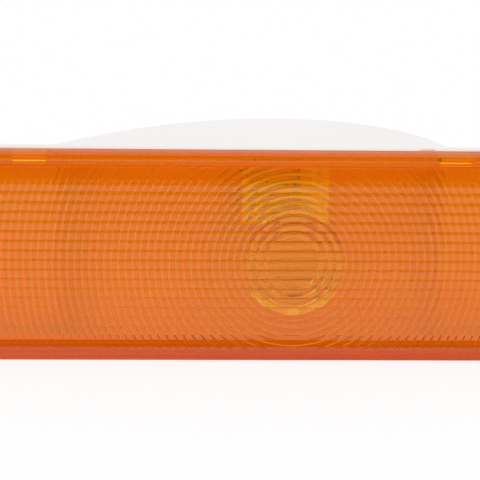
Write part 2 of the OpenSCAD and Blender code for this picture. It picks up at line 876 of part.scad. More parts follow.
// Rings of the spring's wire, swept along its helix.
module contact_spring() color("lightgray") {
    sides = 8;
    steps = 22;
    n = round(spring_turns * steps);
    run = spring_len - 2 * spring_wire_r - 2 * fit;
    points = [
        for (k = [0 : n], s = [0 : sides - 1])
            let (a = 360 * k / steps, b = 360 * s / sides, r = spring_r + spring_wire_r * cos(b))
            [r * cos(a), spring_y + fit + spring_wire_r * (1 + sin(b)) + run * k / n, r * sin(a)]
    ];
    sides_faces = [
        for (k = [0 : n - 1], s = [0 : sides - 1])
            let (a = k * sides + s, b = k * sides + (s + 1) % sides)
            [a, b, b + sides, a + sides]
    ];
    ends = [
        [for (s = [sides - 1 : -1 : 0]) s],
        [for (s = [0 : sides - 1]) n * sides + s]
    ];
    on_axis()
        polyhedron(points, concat(sides_faces, ends));
}

// The two sprung brass strips from the buttons to the blades.
module contact_leads() color("gold") {
    t = 0.3;
    w = 2;
    bulge = 1.1;
    for (side = [-1, 1])
        on_axis()
            translate([side * contact_x, 0, -w / 2])
                linear_extrude(w)
                    polygon([
                        [0, spring_y], [t, spring_y], [t - side * bulge, (spring_y + chamber_y) / 2],
                        [t, chamber_y], [0, chamber_y], [-side * bulge, (spring_y + chamber_y) / 2]
                    ]);
}

// The three terminal blades in the connector.
module terminal_blades() color("gold")
    on_axis()
        for (x = [-contact_x, contact_x, ground_x])
            translate([x - blade_w / 2, chamber_y, -blade_t / 2])
                cube([blade_w, end_wall + blade_len, blade_t]);

// The strap that joins the sleeve to the ground blade.
module ground_strap() color("silver") {
    mid_y = (sleeve_back_y + chamber_y) / 2;
    on_axis()
        translate([0, 0, -blade_w / 2 + fit])
            linear_extrude(blade_w - 2 * fit)
                polygon([
                    [strap_x - strap_t / 2, sleeve_back_y], [strap_x + strap_t / 2, sleeve_back_y],
                    [strap_x + strap_t / 2, mid_y], [ground_x + strap_t / 2, mid_y],
                    [ground_x + strap_t / 2, chamber_y], [ground_x - strap_t / 2, chamber_y],
                    [ground_x - strap_t / 2, mid_y + strap_t], [strap_x - strap_t / 2, mid_y + strap_t]
                ]);
}

lens();
lens_seal();
housing();
reflector();
reflector_screws();
bulb_glass();
bulb_stem();
filament_posts();
filament_turn();
filament_park();
bulb_base();
bulb_pins();
bulb_insulator();
bulb_contacts();
socket_body();
socket_gasket();
bayonet_sleeve();
contact_carrier();
contact_buttons();
contact_spring();
contact_leads();
terminal_blades();
ground_strap();
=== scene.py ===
# %% [markdown]
# # A wide amber parking lamp
# The lamp sits low in the front of a car. A pale moulded housing holds a white liner and a
# small bulb, and a long amber lens closes it. The lens is the skilful part: level flutes
# outside, prism rings inside, and a bull's-eye in front of the bulb. The inner parts come
# as ready meshes that only need a finish. The lens and the coils are modelled here.

import math

import bmesh
import bpy
from mathutils import Matrix, Vector


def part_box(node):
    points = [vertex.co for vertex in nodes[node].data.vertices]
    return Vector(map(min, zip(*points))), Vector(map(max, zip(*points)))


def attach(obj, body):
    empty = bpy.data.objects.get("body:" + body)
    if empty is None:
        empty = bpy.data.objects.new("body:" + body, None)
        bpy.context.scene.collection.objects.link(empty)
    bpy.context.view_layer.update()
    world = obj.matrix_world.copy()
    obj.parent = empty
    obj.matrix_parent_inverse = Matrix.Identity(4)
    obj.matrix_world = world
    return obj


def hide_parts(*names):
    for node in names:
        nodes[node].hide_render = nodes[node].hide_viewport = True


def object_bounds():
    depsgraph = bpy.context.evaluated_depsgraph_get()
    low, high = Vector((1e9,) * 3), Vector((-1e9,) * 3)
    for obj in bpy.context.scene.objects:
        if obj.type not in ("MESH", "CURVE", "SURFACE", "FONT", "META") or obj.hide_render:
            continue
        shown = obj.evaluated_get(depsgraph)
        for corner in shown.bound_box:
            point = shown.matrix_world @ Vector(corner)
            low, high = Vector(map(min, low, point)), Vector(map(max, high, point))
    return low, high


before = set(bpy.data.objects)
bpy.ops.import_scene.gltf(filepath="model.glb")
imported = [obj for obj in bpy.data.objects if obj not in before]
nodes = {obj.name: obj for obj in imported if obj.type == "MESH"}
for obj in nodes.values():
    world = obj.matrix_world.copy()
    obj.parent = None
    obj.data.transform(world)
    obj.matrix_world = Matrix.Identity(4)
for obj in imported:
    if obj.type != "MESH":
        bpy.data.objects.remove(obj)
cad_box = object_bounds()
MM = 0.001
print("nodes:", len(nodes), "box:", [tuple(round(c, 4) for c in corner) for corner in cad_box])

# %% [markdown]
# The camera could be placed by eye. Here it is worked out from the picture: the lens's
# edges run almost level but lean a little, so the camera stood above the lamp, a little
# to its left, and was tilted by about a degree. A long focal length gives the flat look.

# %% Camera
elevation = math.radians(13)
yaw = math.radians(4)
roll = math.radians(1.2)
distance = 1.0
focal_px, frame_px = 2815, 480
aim = Vector((0.00015, 0, 0.00324))
forward = Vector((math.sin(yaw) * math.cos(elevation), math.cos(yaw) * math.cos(elevation),
                  -math.sin(elevation)))
level_right = forward.cross(Vector((0, 0, 1))).normalized()
level_up = level_right.cross(forward)
right = level_right * math.cos(roll) + level_up * math.sin(roll)
up = level_up * math.cos(roll) - level_right * math.sin(roll)
camera_data = bpy.data.cameras.new("camera")
camera_data.sensor_width = 36
camera_data.lens = camera_data.sensor_width * focal_px / frame_px
camera = bpy.data.objects.new("camera", camera_data)
bpy.context.scene.collection.objects.link(camera)
camera.matrix_world = Matrix.Translation(aim - forward * distance) @ Matrix(
    (right, up, -forward)).transposed().to_4x4()
bpy.context.scene.camera = camera
print("camera lens:", round(camera_data.lens, 1), "mm")

# %% [markdown]
# A finish is a small network of nodes. Wiring it socket by socket is slow to read, so a
# Wire stands for one output, and sums on wires add the maths nodes. Numbers use Math
# nodes and vectors use Vector Math, while colours only go through Mix.

# %% Wires
class Wire:
    """One output of a node, which can be used in a sum."""

    def __init__(self, finish, socket):
        self.finish, self.socket = finish, socket

    def sum(self, operation, first, second):
        """Adds the node for one step of a sum."""
        flat = all(not isinstance(v, Wire) or v.socket.type == "VALUE" for v in (first, second))
        kind = "ShaderNodeMath" if flat else "ShaderNodeVectorMath"
        return self.finish.node(kind, {"operation": operation}, {0: first, 1: second})

    def __add__(self, other): return self.sum("ADD", self, other)
    def __radd__(self, other): return self.sum("ADD", other, self)
    def __sub__(self, other): return self.sum("SUBTRACT", self, other)
    def __rsub__(self, other): return self.sum("SUBTRACT", other, self)
    def __mul__(self, other): return self.sum("MULTIPLY", self, other)
    def __rmul__(self, other): return self.sum("MULTIPLY", other, self)
    def __truediv__(self, other): return self.sum("DIVIDE", self, other)


print("a wire can be used with:", "+ - * /")


# %% [markdown]
# A Finish holds one material and has a method for each kind of node that the lamp needs.
# Noise gives the grain, spans and bands say where a tone lies, and bump turns a pattern
# into a slight relief. Every pattern reads the piece's own place in metres, so that it
# stays where it is, from whatever side the lamp is seen.

# %% Finishes
def screen(r, g, b):
    """A colour as a screen shows it, from 0 to 255, as the shader's own numbers."""
    def one(c):
        c = c / 255
        return c / 12.92 if c < 0.04045 else ((c + 0.055) / 1.055) ** 2.4
    return (one(r), one(g), one(b), 1)


def edge(at, soft):
    """Where a soft edge starts and ends."""
    return at - soft, at + soft


MOST_OF_A_NOISE = edge(0.5, 0.2)


class Finish:
    """A material, with one method that adds any node and short ones for the usual nodes."""

    def __init__(self, name, **values):
        self.material = bpy.data.materials.new(name)
        self.material.use_nodes = True
        self.tree = self.material.node_tree
        self.shader = self.tree.nodes["Principled BSDF"]
        self.look = Wire(self, self.shader.outputs[0])
        for socket, value in values.items():
            self.set(socket.replace("_", " "), value)

    def set(self, socket, value):
        """Gives the main shader a number, a colour or a wire."""
        target = self.shader.inputs[socket]
        if isinstance(value, Wire):
            self.tree.links.new(value.socket, target)
        else:
            target.default_value = value

    def node(self, kind, settings=None, links=None, out=0):
        """Adds any node, with its settings first and then its values and wires."""
        made = self.tree.nodes.new(kind)
        for key, value in (settings or {}).items():
            setattr(made, key, value)
        for key, value in (links or {}).items():
            if isinstance(value, Wire):
                self.tree.links.new(value.socket, made.inputs[key])
            else:
                made.inputs[key].default_value = value
        return Wire(self, made.outputs[out])

    def place(self):
        """The place on the piece, in its own metres."""
        return self.node("ShaderNodeTexCoord", out="Object")

    def part(self, vector, name):
        """One of a vector's three numbers."""
        return self.node("ShaderNodeSeparateXYZ", {}, {"Vector": vector}, out=name)

    def axis(self, name):
        """One of the three numbers of the place."""
        return self.part(self.place(), name)

    def length(self, vector):
        """How long a vector is."""
        return self.node("ShaderNodeVectorMath", {"operation": "LENGTH"}, {0: vector}, out="Value")

    def repeat(self, value):
        """What lies behind the decimal point, so that a pattern starts again at each whole."""
        return self.node("ShaderNodeMath", {"operation": "FRACT"}, {0: value})

    def noise(self, scale, detail=2, stretch=(1, 1, 1)):
        """A cloud of greys, which a stretch turns into streaks."""
        at = self.node("ShaderNodeMapping", {}, {"Vector": self.place(), "Scale": stretch})
        return self.node("ShaderNodeTexNoise", {}, {"Vector": at, "Scale": scale, "Detail": detail},
                         out="Fac")

    def span(self, value, low, high, to_low=0.0, to_high=1.0):
        """A soft step from one number to another while the value goes from low to high."""
        return self.node("ShaderNodeMapRange", {"interpolation_type": "SMOOTHSTEP"},
                         {"Value": value, "From Min": low, "From Max": high,
                          "To Min": to_low, "To Max": to_high})

    def band(self, value, low, high):
        """1 between two soft edges, each a pair of numbers, and 0 elsewhere."""
        return self.span(value, *low) * self.span(value, *high, 1.0, 0.0)

    def blend(self, share, under, over):
        """A share of one colour over another."""
        return self.node("ShaderNodeMix", {"data_type": "RGBA"},
                         {0: share, 6: under, 7: over}, out=2)

    def repaint(self, share, over):
        """Lays a share of a colour over the one that the finish has."""
        under = Wire(self, self.shader.inputs["Base Color"].links[0].from_socket)
        self.set("Base Color", self.blend(share, under, over))

    def roughen(self, pattern, low, high):
        """Lets the roughness go from low to high with a noise."""
        self.set("Roughness", self.span(pattern, *MOST_OF_A_NOISE, low, high))

    def bump(self, height, depth, strength=1.0):
        """A slight relief, as deep as depth in metres."""
        self.set("Normal", self.node("ShaderNodeBump", {}, {
            "Strength": strength, "Distance": depth, "Height": height}, out="Normal"))

    def ray(self, kind):
        """1 for a ray of this kind, and 0 for any other."""
        return self.node("ShaderNodeLightPath", out="Is " + kind + " Ray")

    def mix(self, share, first, second):
        """A share of the second shader over the first."""
        return self.node("ShaderNodeMixShader", {}, {0: share, 1: first, 2: second})

    def surface(self, shader):
        """Makes this shader the one that shows."""
        self.tree.links.new(shader.socket, self.tree.nodes["Material Output"].inputs["Surface"])

    def let_light_in(self, look, tint=(1, 1, 1, 1)):
        """Keeps the look for rays that see the piece, and lets light pass a plain filter."""
        filtered = self.node("ShaderNodeBsdfTransparent", {}, {"Color": tint})
        self.surface(self.mix(self.ray("Shadow") + self.ray("Diffuse"), look, filtered))


def dress(name, finish):
    """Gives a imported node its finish."""
    for slot in nodes[name].material_slots:
        slot.material = finish.material
    print(name, "->", finish.material.name)


print("middle grey:", round(screen(128, 128, 128)[0], 3))

# %% [markdown]
# The lamp was photographed on a white table against a white wall, with soft light from
# above and a dark room in front. So the level faces of the lens mirror the wall, the upright
# ones mirror the table, and the ones that slope to the front stay free of glare. Area lights
# could do this, but a world that looks dark only in mirrors gives less noise. For the
# camera itself the room is plain white.

# %% Room light
world = bpy.data.worlds.new("room")
world.use_nodes = True
bpy.context.scene.world = world


class Room(Finish):
    """The world's nodes, wired as a finish is."""

    def __init__(self, tree):
        self.tree = tree
        self.shader = tree.nodes["Background"]


ROOM_LEVEL = 1.04
room = Room(world.node_tree)
looking = room.node("ShaderNodeTexCoord", out="Generated")
behind = room.span(room.part(looking, "Y"), *edge(0.0, 0.2))
from_floor_to_ceiling = room.band(room.part(looking, "Z"), (0.02, 0.12), (0.96, 0.99))
mirrored = room.ray("Glossy") * (1 - room.ray("Transmission"))
room.set("Color", (1, 1, 1, 1))
room.set("Strength", ROOM_LEVEL - from_floor_to_ceiling * (1 - behind) * mirrored)
print("room level:", ROOM_LEVEL)

# %% [markdown]
# Light has to cross the amber lens, the bulb and the lens again, and many bounces of it
# end up inside the white liner. So the limits on bounces are higher than usual.

# %% Bounces
scene = bpy.context.scene
scene.view_settings.view_transform = "Standard"
scene.cycles.max_bounces = 32
scene.cycles.diffuse_bounces = 24
scene.cycles.glossy_bounces = 8
scene.cycles.transmission_bounces = 24
scene.cycles.transparent_max_bounces = 16
print("bounces:", scene.cycles.max_bounces)

# %% [markdown]
# The table is a single white face under the lamp. White paint alone would look grey next
# to a white wall, so rays that see it, straight or in the lens, find it mostly glowing.
# The light that it throws back on the lamp is that of the plain white paint.

# %% White table
TABLE_SIZE, TABLE_GLOW = 6, 0.85


def settle(name, bm):
    """Turns a bmesh in metres into an object."""
    mesh = bpy.data.meshes.new(name)
    bm.to_mesh(mesh)
    bm.free()
    made = bpy.data.objects.new(name, mesh)
    bpy.context.scene.collection.objects.link(made)
    return made


bm = bmesh.new()
bmesh.ops.create_grid(bm, x_segments=1, y_segments=1, size=TABLE_SIZE,
                      matrix=Matrix.Translation((0, 0, cad_box[0].z)))
table = settle("table", bm)
white = Finish("table_white", Base_Color=(0.97, 0.97, 0.97, 1), Roughness=0.8)
glow = white.node("ShaderNodeEmission", {}, {"Strength": 1.0})
seen = white.ray("Camera") + white.ray("Glossy") + white.ray("Transmission")
white.surface(white.mix(seen * TABLE_GLOW, white.look, glow))
table.data.materials.append(white.material)
print("table at:", round(cad_box[0].z, 4))

# %% [markdown]
# The lens is one moulding, but it is easier to build from plain solids. A long bar has
# the side view as its outline: bead, groove, sloping margin, flutes, ledge and lip. It is
# cut to a rounded box, set on a flange with a soft edge, hollowed, and lined with rings
# that are spun from a saw-toothed line. Booleans join the solids into one closed skin.

# %% Sizes of the lens, in millimetres
HALF_W, HALF_H, CORNER = 117.0, 35.1, 4.0
FLANGE_Y, SEAT_Y, FLANGE_LIP = -7.6, -3.0, 1.5
FOOT_Y = FLANGE_Y + 0.4  # the walls end a little inside the flange
BEAD_Y, STEP_Y, CROWN_Y, LIP_Y = -18.0, -17.2, -20.0, -20.4
BEAD_H, MARGIN_H, LIP_H, LEDGE_H = 2.2, 4.8, 4.7, 1.9
WINDOW_TOP = HALF_H - BEAD_H - MARGIN_H
WINDOW_BOTTOM = LIP_H + LEDGE_H - HALF_H
print("window from", round(WINDOW_TOP, 1), "to", round(WINDOW_BOTTOM, 1))


# %% Solids from outlines and boxes
def rounded_box(x, z, y0, y1, corner, soft=0.0):
    """A box with round upright corners, and a soft front edge where soft is given."""
    bm = bmesh.new()
    bmesh.ops.create_cube(bm, size=1, matrix=Matrix.LocRotScale(
        (0, (y0 + y1) / 2, 0), None, (2 * x, y1 - y0, 2 * z)))
    along = [e for e in bm.edges if abs(e.verts[0].co.y - e.verts[1].co.y) > 1e-6]
    bmesh.ops.bevel(bm, geom=along, offset=corner, offset_type="OFFSET", affect="EDGES",
                    segments=8, profile=0.5, material=-1)
    if soft:
        front = [e for e in bm.edges if all(abs(v.co.y - y0) < 1e-6 for v in e.verts)]
        bmesh.ops.bevel(bm, geom=front, offset=soft, offset_type="OFFSET", affect="EDGES",
                        segments=5, profile=0.5, material=-1)
    return bm


def bar(outline, x0, x1):
    """A side view in Y and Z, drawn out along X."""
    bm = bmesh.new()
    face = bm.faces.new([bm.verts.new((x0, y, z)) for y, z in outline])
    grown = bmesh.ops.extrude_face_region(bm, geom=[face])["geom"]
    bmesh.ops.translate(bm, vec=(x1 - x0, 0, 0),
                        verts=[v for v in grown if isinstance(v, bmesh.types.BMVert)])
    bmesh.ops.recalc_face_normals(bm, faces=bm.faces)
    return bm


def slice_off(bm, point, normal):
    """Takes away what lies beyond a plane and closes the cut."""
    cut = bmesh.ops.bisect_plane(bm, geom=bm.verts[:] + bm.edges[:] + bm.faces[:],
                                 plane_co=point, plane_no=normal, clear_outer=True)
    rim = [e for e in cut["geom_cut"] if isinstance(e, bmesh.types.BMEdge)]
    bmesh.ops.contextual_create(bm, geom=rim)


def block(name, bm):
    """Turns a bmesh in millimetres into an object in metres."""
    bmesh.ops.scale(bm, vec=(MM, MM, MM), verts=bm.verts)
    return settle(name, bm)


def combine(base, other, operation):
    """Joins, cuts or clips base with other, which is used up."""
    tool = base.modifiers.new("join", "BOOLEAN")
    tool.operation, tool.object, tool.solver = operation, other, "MANIFOLD"
    shape = base.evaluated_get(bpy.context.evaluated_depsgraph_get())
    mesh = bpy.data.meshes.new_from_object(shape)
    base.modifiers.clear()
    old, base.data = base.data, mesh
    bpy.data.meshes.remove(old)
    bpy.data.meshes.remove(other.data)
    print(operation.lower(), "gives", len(mesh.polygons), "faces")


# %% [markdown]
# The side view carries all that runs along the lamp. The top wall rises a little towards
# its bead, or it would mirror the white room as a bright line. Each flute is a shallow
# hump, and together they follow a gentle curve. Short steps make the humps look round.

# %% Side view of the lens
CROWN_R, PITCH, HUMP, FLUTE_STEPS = 300.0, 3.42, 0.22, 12
LEAN, WALL_RISE, WALL_FOOT, BEAD_CUT = 0.24, 0.15, 0.8, 0.15
LIP_DROP, LIP_CORNER = 0.25, 0.08


def crown(z):
    """The window's gentle upright curve."""
    mid = (WINDOW_TOP + WINDOW_BOTTOM) / 2
    return CROWN_Y + CROWN_R - math.sqrt(CROWN_R ** 2 - (z - mid) ** 2)


def flute_point(step):
    """One point of the flutes, counted from the window's top."""
    z = WINDOW_TOP - step * PITCH / FLUTE_STEPS
    part = step % FLUTE_STEPS / FLUTE_STEPS
    return crown(z) - HUMP * (1 - (2 * part - 1) ** 2), z


def groove(y, z, depth, half=0.3):
    """A fine V groove across an upright face."""
    return [(y, z + half), (y + depth, z), (y, z - half)]


def round_corner(y, z, dy, dz, r=0.45, steps=4):
    """A rounded corner between a level face and an upright one, from the level face on."""
    return [(y + dy * r * (1 - math.sin(a)), z + dz * r * (1 - math.cos(a)))
            for a in (math.pi / 2 * k / steps for k in range(steps + 1))]


wall_foot = [(FOOT_Y, HALF_H - WALL_FOOT)]
top = (wall_foot + round_corner(BEAD_Y + LEAN, HALF_H + WALL_RISE, 1, -1, steps=1)
       + groove(BEAD_Y + LEAN / 2, HALF_H - BEAD_H / 2, 0.15)
       + [(BEAD_Y, HALF_H - BEAD_H + BEAD_CUT), (BEAD_Y + BEAD_CUT, HALF_H - BEAD_H),
          (STEP_Y, HALF_H - BEAD_H)])
flutes = [flute_point(step)
          for step in range(math.ceil((WINDOW_TOP - WINDOW_BOTTOM) * FLUTE_STEPS / PITCH))]
lip_end = (round_corner(LIP_Y, -HALF_H - LIP_DROP, 1, 1, LIP_CORNER)[::-1]
           + [(FOOT_Y, -HALF_H)])
bottom = ([(crown(WINDOW_BOTTOM), WINDOW_BOTTOM), (LIP_Y + 0.2, LIP_H - HALF_H + 0.2),
           (LIP_Y, LIP_H - HALF_H - 0.1)] + groove(LIP_Y, 0.55 * LIP_H - HALF_H, 0.1) + lip_end)
print("points of the side view:", len(top + flutes + bottom))

# %% [markdown]
# The flutes stop short of the lens's ends, where a plain border closes them. The flange is
# first made too flat, so that a round edge, once stretched with it, becomes a long
# elliptical shoulder: it rises to the wall without a level strip that would shine.

# %% Body, borders and flange
END_BORDER, OVERLAP, BEYOND = 6.5, 0.01, 1
SHOULDER, STRETCH = 2.15, 2.1
window_x = HALF_W - END_BORDER
plain = wall_foot + round_corner(BEAD_Y, HALF_H + WALL_RISE, 1, -1) + lip_end
lens = block("lens_moulding", bar(top + flutes + bottom, -HALF_W + END_BORDER, window_x))
for x0, x1 in ((-HALF_W - BEYOND, -HALF_W + END_BORDER + OVERLAP),
               (window_x - OVERLAP, HALF_W + BEYOND)):
    combine(lens, block("border", bar(plain, x0, x1)), "UNION")
combine(lens, block("trim", rounded_box(HALF_W, HALF_H + 0.9, LIP_Y - 2, SEAT_Y - 0.4, CORNER)),
        "INTERSECT")
flange = rounded_box(HALF_W + FLANGE_LIP, HALF_H + FLANGE_LIP, (FLANGE_Y - SEAT_Y) / STRETCH, 0,
                     CORNER + FLANGE_LIP, SHOULDER)
bmesh.ops.scale(flange, vec=(1, STRETCH, 1), verts=flange.verts)
bmesh.ops.translate(flange, vec=(0, SEAT_Y, 0), verts=flange.verts)
combine(lens, block("flange", flange), "UNION")

# %% [markdown]
# Two pads on the top wall locate the lens. Each is a block whose top falls away to the
# back and whose front is sliced to a slope, because a slope to the front shows the bright
# amber. Then the inside is taken out as one rounded box, which leaves even walls.

# %% Locating pads and the room inside
PAD_X, PAD_W, PAD_H = 74.6, 11.4, 2.1
PAD_FRONT, PAD_FALL = BEAD_Y + 0.8, 0.5 + PAD_H
SLOPE = math.radians(50)
INSIDE_Y, WALL = -15.6, 2.4
for side in (-1, 1):
    bm = bmesh.new()
    bmesh.ops.create_cube(bm, size=1, matrix=Matrix.LocRotScale(
        (side * PAD_X, (PAD_FRONT + FOOT_Y) / 2, HALF_H + PAD_H / 2 - WALL_FOOT), None,
        (PAD_W, FOOT_Y - PAD_FRONT, PAD_H + 2 * WALL_FOOT)))
    rear_top = [v for v in bm.verts if v.co.z > HALF_H and v.co.y > PAD_FRONT + 3]
    bmesh.ops.translate(bm, vec=(0, 0, -PAD_FALL), verts=rear_top)
    slice_off(bm, (0, PAD_FRONT, HALF_H + 0.1), (0, -math.sin(SLOPE), math.cos(SLOPE)))
    bmesh.ops.recalc_face_normals(bm, faces=bm.faces)
    combine(lens, block("pad", bm), "UNION")
combine(lens, block("room", rounded_box(HALF_W - WALL, HALF_H - WALL, INSIDE_Y, SEAT_Y + 1,
                                        CORNER - WALL / 2)), "DIFFERENCE")

# %% [markdown]
# The rings bend the bulb's light forwards, as a thick lens would, but cut into steps so
# that the moulding stays thin. Each step is a steep face, a small round crest and a long
# slope. A knife edge would draw hard dark lines, so the crest has nine soft points. The
# middle is a dome with three coarse rings, the bull's-eye. The plate is spun in one go,
# cut off at the lens's walls and sunk a little into its front.

# %% Prism rings
VALLEY_Y, RING_H, RING_PITCH, RING_COUNT = -15.45, 0.3, 2.54, 48
EYE_MID, EYE_R, DOME_R, EYE_H, EYE_RINGS = (18.0, -1.0), 18.0, 8.8, 1.5, 3
PLATE_SINK, PLATE_INSET, DOME_STEPS, SPIN_STEPS = 0.4, 1.4, 12, 240


def saw(r0, pitch, height):
    """One ring's line, from its inner valley to the foot of its slope."""
    crest = [(0.01, 0.0), (0.1, 0.12), (0.2, 0.42), (0.3, 0.76), (0.4, 0.96), (0.48, 1.0),
             (0.6, 0.93), (0.76, 0.62), (0.9, 0.25)]
    return [(r0 + pitch * part, VALLEY_Y + height * dy) for part, dy in crest]


line = [(DOME_R * k / DOME_STEPS, VALLEY_Y + EYE_H * (1 - (k / DOME_STEPS) ** 2))
        for k in range(DOME_STEPS)]
coarse = (EYE_R - DOME_R) / EYE_RINGS
for i in range(EYE_RINGS):
    line += saw(DOME_R + i * coarse, coarse, 0.5 * EYE_H)
for i in range(RING_COUNT):
    line += saw(EYE_R + i * RING_PITCH, RING_PITCH, RING_H)
rim_r, plate_back = EYE_R + RING_COUNT * RING_PITCH, INSIDE_Y - PLATE_SINK
line += [(rim_r, VALLEY_Y), (rim_r, plate_back), (0, plate_back)]
bm = bmesh.new()
points = [bm.verts.new((r, y, 0)) for r, y in line]
edges = [bm.edges.new(pair) for pair in zip(points, points[1:])]
bmesh.ops.spin(bm, geom=points + edges, cent=(0, 0, 0), axis=(0, 1, 0), angle=2 * math.pi,
               steps=SPIN_STEPS, use_merge=True)
bmesh.ops.remove_doubles(bm, verts=bm.verts, dist=1e-5)
bmesh.ops.translate(bm, vec=(EYE_MID[0], 0, EYE_MID[1]), verts=bm.verts)
for normal, reach in (((1, 0, 0), HALF_W), ((-1, 0, 0), HALF_W),
                      ((0, 0, 1), HALF_H), ((0, 0, -1), HALF_H)):
    slice_off(bm, Vector(normal) * (reach - PLATE_INSET), normal)
bmesh.ops.recalc_face_normals(bm, faces=bm.faces)
print("ring plate closed:", all(e.is_manifold for e in bm.edges), len(bm.faces))
combine(lens, block("rings", bm), "UNION")

# %% [markdown]
# Curved faces are shaded smooth, and edges sharper than the angle below stay crisp. The
# weighted normals keep the large flat walls flat where they meet a small rounding.

# %% Smooth faces and crisp edges
lens.data.shade_smooth()
lens.data.set_sharp_from_angle(angle=math.radians(24))
shading = lens.modifiers.new("flat_faces_stay_flat", "WEIGHTED_NORMAL")
shading.keep_sharp = True
shading.weight = 100
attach(lens, "root")
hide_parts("lens")
print("lens triangles:", sum(len(f.vertices) - 2 for f in lens.data.polygons))

# %% [markdown]
# The amber moulding is clear plastic that holds back blue and half of the green. Its tone
# isn't the same all over: it is deeper where the plastic is thick, and light and shade from
# what lies behind are painted into it.
# An image could say where each tone goes, but here masks are worked out from the place on
# the lens, in millimetres. A mask is 1 where a tone goes and 0 elsewhere.

# %% Places on the lens
amber = Finish("lens_amber", IOR=1.49, Transmission_Weight=1.0)
out, deep, level = (amber.axis(name) / MM for name in "XYZ")
MARGIN_TOP = WINDOW_TOP + MARGIN_H
outer = amber.span(deep, *edge(-17.3, 0.3), 1.0, 0.0)
inner = amber.span(deep, *edge(INSIDE_Y - 0.4, 0.2))
window = amber.band(level, (WINDOW_BOTTOM, WINDOW_BOTTOM + 0.3), (WINDOW_TOP - 0.3, WINDOW_TOP))
margin = amber.band(level, (WINDOW_TOP - 0.5, WINDOW_TOP + 0.6), (MARGIN_TOP - 0.3, MARGIN_TOP))
foot = amber.span(level, WINDOW_BOTTOM + 0.2, WINDOW_BOTTOM - 0.4, 0.0, 0.95)
ledge = amber.span(level, *edge(WINDOW_BOTTOM - 1.2, 0.2), 1.0, 0.0)
lip = amber.span(level, WINDOW_BOTTOM - 2.2, WINDOW_BOTTOM - 1.9, 1.0, 0.0)
# Painted light on the top of each pad.
pad_ends = [(PAD_X + end * PAD_W / 2) ** 2 for end in (-1, 1)]
painted_pad_light = amber.band(out * out, (pad_ends[0] - 9, pad_ends[0]), (pad_ends[1], pad_ends[1] + 9))
painted_pad_light = painted_pad_light * amber.span(level, *edge(HALF_H - 0.8, 0.1))
print("margin up to:", round(MARGIN_TOP, 1))

# %% [markdown]
# What is round on the lens is measured by the distance from the middle of the bull's-eye.
# The rings repeat with that distance, and the flutes with the height. Above the bull's-eye a
# bright patch is painted, as painted light for the liner's bright flat seen through the lens,
# and a few arcs of the coarse rings get painted shade and a painted glint.

# %% Rings, flutes and arcs
FIELD_LEFT, FIELD_RIGHT, FIELD_FOOT = -0.8, 29.5, 13.5
from_eye = (amber.place() - (EYE_MID[0] * MM, 0, EYE_MID[1] * MM)) * (1, 0, 1)
radius = amber.length(from_eye) / MM
rise = level - EYE_MID[1]
eye = amber.span(radius, EYE_R - 0.6, EYE_R, 1.0, 0.0)
rings = amber.repeat((radius - EYE_R) / RING_PITCH)
# Painted shade along the crests of the rings.
crest = amber.band(rings, (0.0, 0.3), (0.35, 0.95)) * amber.span(radius, EYE_R, EYE_R + 0.1)
rows = amber.repeat((WINDOW_TOP - level) / PITCH)
shown = amber.node("ShaderNodeMath", {"operation": "MAXIMUM"},
                   {0: amber.span(level, -16, 2), 1: eye})
# Painted shade in the valleys between the flutes.
painted_valley_shade = amber.span(rows, 0.0, 0.5, 1.0, 0.0) * outer * window * shown
# Painted light: a brighter patch above the bull's-eye stands for the liner's bright flat seen
# through the lens.
painted_bright_field = (amber.band(out, edge(FIELD_LEFT, 0.3), edge(FIELD_RIGHT, 0.3))
         * amber.band(level, edge(FIELD_FOOT, 0.3), (MARGIN_TOP - 0.4, MARGIN_TOP)) * (1 - eye))


def arcs(*pairs):
    """Soft bands between pairs of radii, added up."""
    found = 0.0
    for low, high in pairs:
        found = found + amber.band(radius, edge(low, 0.25), edge(high, 0.15))
    return found


# Painted shade on the top arcs of the coarse rings.
painted_shade_arcs = arcs((16.4, 18.1), (13.5, 15.0), (10.5, 11.9)) * amber.span(rise, 3, 8) * inner
# A painted glint on the bottom arc of the coarse rings.
lower = arcs((16.2, 17.9)) * amber.span(rise, -10, -13) * inner
print("clearer field:", FIELD_RIGHT - FIELD_LEFT, "wide")

# %% [markdown]
# The tones are laid over one another like coats of paint, from the widest to the smallest:
# first clouds in the plastic, then a deeper tone towards the bottom, painted light over the
# bull's-eye, painted shade in the valleys between the flutes and along the ring crests, the
# borders, painted shade on the top arcs and a painted glint on the bottom arc, a painted
# bright patch above the bull's-eye and painted light on each pad.

# %% Tones of the amber
low_tone = amber.blend(ledge, (0.84, 0.31, 0.01, 1), (0.76, 0.21, 0.01, 1))
coats = (
    (amber.noise(60, 2) * 0.3, (0.9, 0.29, 0.008, 1)),
    (amber.span(level, -6, -26, 0.0, 0.6), (0.93, 0.4, 0.035, 1)),
    # Painted light: a lighter, yellower tone over the bull's-eye for the bulb and liner seen
    # through it.
    (eye, (0.97, 0.57, 0.04, 1)),
    (painted_valley_shade, amber.blend(eye, (0.786, 0.41, 0.03, 1), (0.66, 0.33, 0.02, 1))),
    # Painted shade along the ring crests.
    (crest * inner * 0.3, (0.8, 0.32, 0.012, 1)),
    (margin, (0.95, 0.375, 0.005, 1)),
    (foot, amber.blend(lip, low_tone, (0.77, 0.29, 0.01, 1))),
    (painted_shade_arcs * 0.9, (0.74, 0.15, 0.012, 1)),
    (lower * 0.9, (1.0, 0.8, 0.03, 1)),
    (painted_bright_field, amber.blend(margin, (1.0, 0.65, 0.03, 1), (1.0, 0.48, 0.008, 1))),
    (painted_pad_light, (1.0, 0.6, 0.008, 1)))
tone = (0.965, 0.48, 0.035, 1)
for share, coat in coats:
    tone = amber.blend(share, tone, coat)
amber.set("Base Color", tone)
amber.roughen(amber.noise(300, 3), 0.008, 0.03)
amber.bump(amber.noise(45, 2), 0.00002, 0.25)
print("coats of amber:", len(coats))
